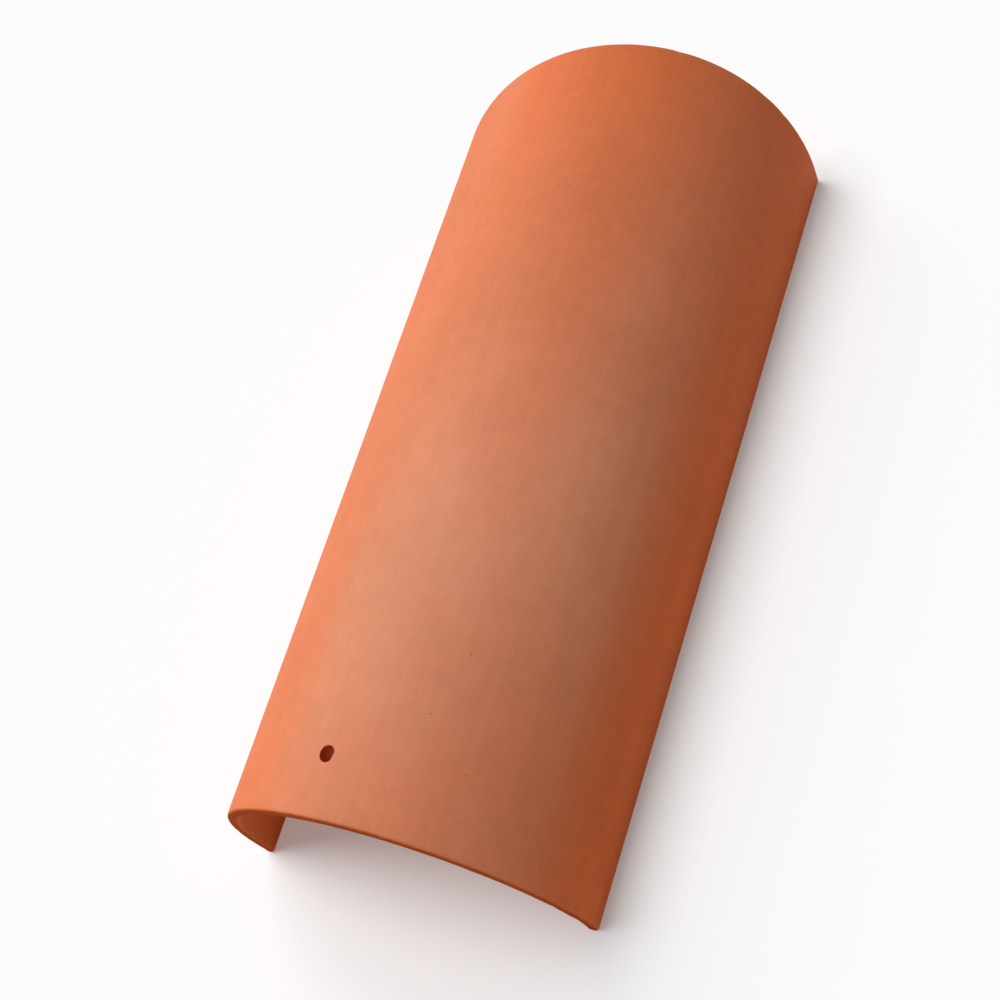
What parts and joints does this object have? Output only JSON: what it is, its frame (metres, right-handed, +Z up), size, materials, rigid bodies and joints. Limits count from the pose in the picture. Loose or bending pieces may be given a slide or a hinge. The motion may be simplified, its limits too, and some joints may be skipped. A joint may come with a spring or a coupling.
{
  "type": "clay roof tile",
  "caption": "Tapered half-round clay roof tile: an open-ended arched shell, wider at one end, with a nail hole on the crown near its narrow end.",
  "frame": {"origin": "on the floor under the middle of the tile's length and width", "axes": "+X across the tile, +Y along it from the narrow nailed end to the wide end, +Z up from the feet to the crown"},
  "size_m": [0.2138, 0.4, 0.1069],
  "materials": {
    "fired_clay": "unglazed matte fired clay"
  },
  "bodies": {
    "root": {"tile": "fired_clay"}
  },
  "joints": []
}
